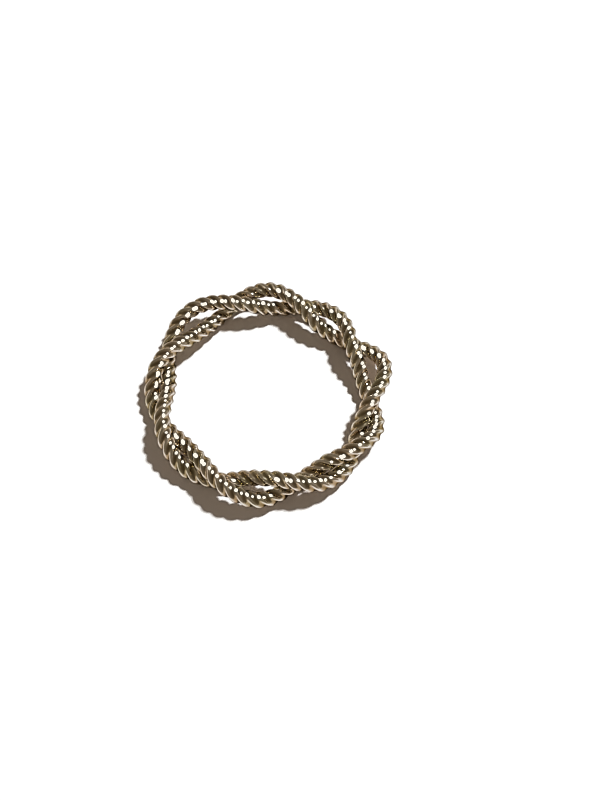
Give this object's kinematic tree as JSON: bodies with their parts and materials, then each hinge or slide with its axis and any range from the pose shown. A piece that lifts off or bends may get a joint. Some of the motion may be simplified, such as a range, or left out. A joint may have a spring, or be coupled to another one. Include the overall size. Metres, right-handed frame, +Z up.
{
  "type": "rope twist ring",
  "caption": "Finger ring shaped as a rope twist: ropes of twisted silver wire wound round each other into an endless hoop, lying on its side.",
  "frame": {"origin": "centre of the ring's box at its lowest wires, on the surface that it lies on", "axes": "+Z up along the axis of the finger hole, +X along the widest way across the hoop"},
  "size_m": [0.024, 0.0236, 0.0031],
  "materials": {
    "silver": "polished silver worn soft on the wires, darker and duller in the grooves"
  },
  "bodies": {
    "root": {"rope_a": "silver", "rope_b": "silver"}
  },
  "joints": []
}
